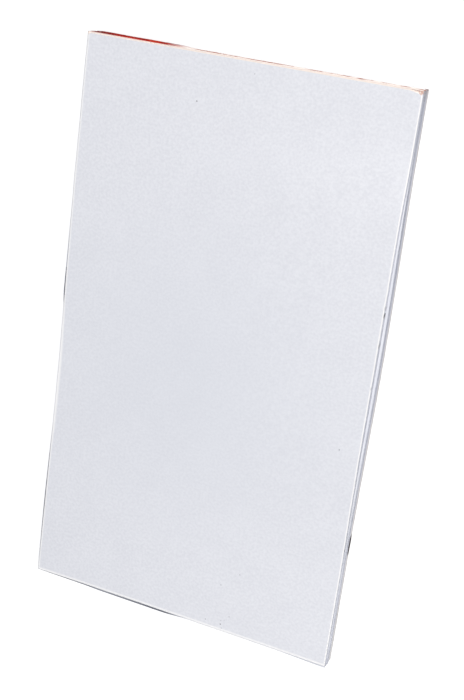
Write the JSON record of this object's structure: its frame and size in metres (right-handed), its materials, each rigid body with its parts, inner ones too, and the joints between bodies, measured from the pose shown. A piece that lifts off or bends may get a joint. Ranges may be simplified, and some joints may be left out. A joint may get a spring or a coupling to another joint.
{
  "type": "gummed log pad",
  "caption": "Slim upright log pad with a blank white cover, tear-off sheets bowed at the right edge, a red gummed head edge and a greyboard back.",
  "frame": {"origin": "centre of the leaves in X and Y, on the underside of the backing board in Z", "axes": "+X is the right edge as read, +Y is towards the gummed head edge, +Z is out of the cover's face"},
  "size_m": [0.1, 0.1724, 0.0066],
  "materials": {
    "cover_stock": "matt, very light blue-grey card",
    "sheet_paper": "matt uncoated white paper",
    "greyboard": "matt warm grey pulp board",
    "padding_gum": "semi-gloss dark red brushed film"
  },
  "bodies": {
    "block_base": {"backing_board": "greyboard", "padding_gum_board": "padding_gum"},
    "lower_sheets": {"log_sheet_21": "sheet_paper", "log_sheet_22": "sheet_paper", "log_sheet_23": "sheet_paper", "log_sheet_24": "sheet_paper", "log_sheet_25": "sheet_paper", "log_sheet_26": "sheet_paper", "log_sheet_27": "sheet_paper", "log_sheet_28": "sheet_paper", "log_sheet_29": "sheet_paper", "log_sheet_30": "sheet_paper", "log_sheet_31": "sheet_paper", "log_sheet_32": "sheet_paper", "log_sheet_33": "sheet_paper", "log_sheet_34": "sheet_paper", "log_sheet_35": "sheet_paper", "log_sheet_36": "sheet_paper", "log_sheet_37": "sheet_paper", "log_sheet_38": "sheet_paper", "log_sheet_39": "sheet_paper", "log_sheet_40": "sheet_paper", "padding_gum_lower": "padding_gum"},
    "upper_sheets": {"log_sheet_01": "sheet_paper", "log_sheet_02": "sheet_paper", "log_sheet_03": "sheet_paper", "log_sheet_04": "sheet_paper", "log_sheet_05": "sheet_paper", "log_sheet_06": "sheet_paper", "log_sheet_07": "sheet_paper", "log_sheet_08": "sheet_paper", "log_sheet_09": "sheet_paper", "log_sheet_10": "sheet_paper", "log_sheet_11": "sheet_paper", "log_sheet_12": "sheet_paper", "log_sheet_13": "sheet_paper", "log_sheet_14": "sheet_paper", "log_sheet_15": "sheet_paper", "log_sheet_16": "sheet_paper", "log_sheet_17": "sheet_paper", "log_sheet_18": "sheet_paper", "log_sheet_19": "sheet_paper", "log_sheet_20": "sheet_paper", "padding_gum_upper": "padding_gum"},
    "cover": {"front_cover": "cover_stock", "padding_gum_cover": "padding_gum"}
  },
  "joints": [
    {"name": "lower_sheets_turn", "type": "hinge", "parent": "block_base", "child": "lower_sheets", "pos_m": [0, 0.0865, 0.0012], "axis": [-1, 0, 0], "range_deg": [0, 90]},
    {"name": "upper_sheets_turn", "type": "hinge", "parent": "lower_sheets", "child": "upper_sheets", "pos_m": [0, 0.0865, 0.0032], "axis": [-1, 0, 0], "range_deg": [0, 90]},
    {"name": "cover_turn", "type": "hinge", "parent": "upper_sheets", "child": "cover", "pos_m": [0, 0.0865, 0.0052], "axis": [-1, 0, 0], "range_deg": [0, 175]}
  ]
}
